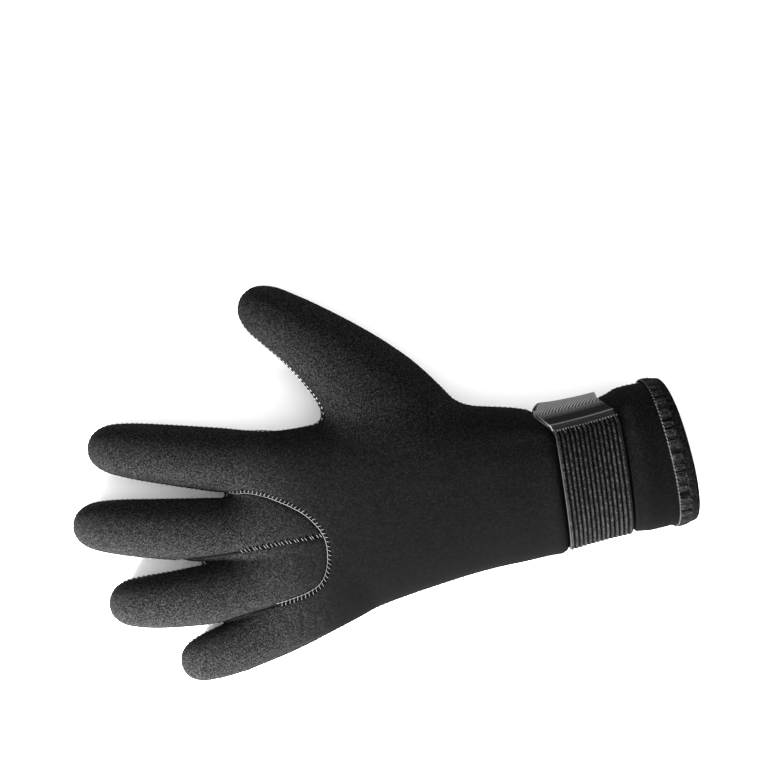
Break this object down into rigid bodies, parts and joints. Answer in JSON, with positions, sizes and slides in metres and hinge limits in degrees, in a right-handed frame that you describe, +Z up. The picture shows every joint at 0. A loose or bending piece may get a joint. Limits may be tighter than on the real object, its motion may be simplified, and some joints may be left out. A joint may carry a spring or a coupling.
{
  "type": "diving glove",
  "caption": "Left-hand neoprene diving glove with sewn finger inserts, a ribbed wrist strap with a tape tab, and a bound cuff, lying palm down.",
  "frame": {"origin": "middle of the glove's box in plan, on the surface that it lies on", "axes": "+X along the hand towards the mouth of the cuff, +Y towards the thumb, +Z up from the palm to the back of the hand"},
  "size_m": [0.2692, 0.1634, 0.0469],
  "materials": {
    "jersey_neoprene": "matte nylon jersey on foam rubber",
    "insert_neoprene": "matte nylon jersey on foam rubber",
    "palm_rubber": "matte ground with glossy raised grip dots",
    "elastic": "ribbed knitted elastic",
    "hook_tape": "twill woven tape with a soft sheen",
    "hem_binding": "stretch binding, overlocked"
  },
  "bodies": {
    "root": {"back_panel": "jersey_neoprene", "middle_finger_back": "insert_neoprene", "ring_finger_back": "insert_neoprene", "palm_panel": "palm_rubber", "wrist_strap": "elastic", "strap_tab": "hook_tape", "cuff_hem": "hem_binding"}
  },
  "joints": []
}
